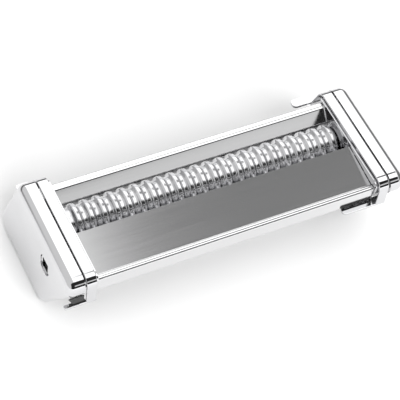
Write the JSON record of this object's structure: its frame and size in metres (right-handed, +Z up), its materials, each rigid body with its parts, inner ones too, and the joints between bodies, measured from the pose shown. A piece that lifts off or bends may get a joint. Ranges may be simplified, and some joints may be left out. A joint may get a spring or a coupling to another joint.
{
  "type": "pasta cutter attachment",
  "caption": "Chromed pasta cutter attachment: geared ring rollers cut a dough sheet into thick noodles, turned by a crank socket.",
  "frame": {"origin": "centre of the bounding box, at the level of the covers' undersides", "axes": "+X along the rollers, towards the plain end; -Y towards the front, where the dough is fed; +Z up"},
  "size_m": [0.1955, 0.084, 0.051],
  "materials": {
    "chrome": "polished",
    "aluminium": "satin",
    "steel": "satin",
    "plastic": "matte"
  },
  "bodies": {
    "frame": {"gear_cover": "chrome", "end_cover": "chrome", "strap_left": "chrome", "strap_right": "chrome", "side_plate_left": "chrome", "side_plate_right": "chrome", "feed_plate_front": "chrome", "feed_plate_back": "chrome", "tie_rod_front": "steel", "tie_rod_lower": "steel", "tie_rod_back": "steel", "rod_screw_front_left": "steel", "rod_screw_front_right": "steel", "rod_screw_lower_left": "steel", "rod_screw_lower_right": "steel", "rod_screw_back_left": "steel", "rod_screw_back_right": "steel", "scraper_comb_front": "plastic", "scraper_comb_back": "plastic", "slide_pad": "plastic", "bush_front_left": "plastic", "bush_front_right": "plastic", "bush_back_left": "plastic", "bush_back_right": "plastic"},
    "front_roller": {"cutter_roller_front": "aluminium", "roller_shaft_front": "steel", "roller_gear_front": "steel", "retaining_clip_front": "steel", "crank_socket": "steel"},
    "back_roller": {"cutter_roller_back": "aluminium", "roller_shaft_back": "steel", "roller_gear_back": "steel", "retaining_clip_back": "steel"}
  },
  "joints": [
    {"name": "front_roller_spin", "type": "hinge", "parent": "frame", "child": "front_roller", "pos_m": [0, -0.0142, 0.0338], "axis": [1, 0, 0], "continuous": true},
    {"name": "back_roller_spin", "type": "hinge", "parent": "frame", "child": "back_roller", "pos_m": [0, 0.0048, 0.0338], "axis": [1, 0, 0], "continuous": true}
  ],
  "couplings": [
    {"joint": "back_roller_spin", "follows": "front_roller_spin", "ratio": -1}
  ]
}
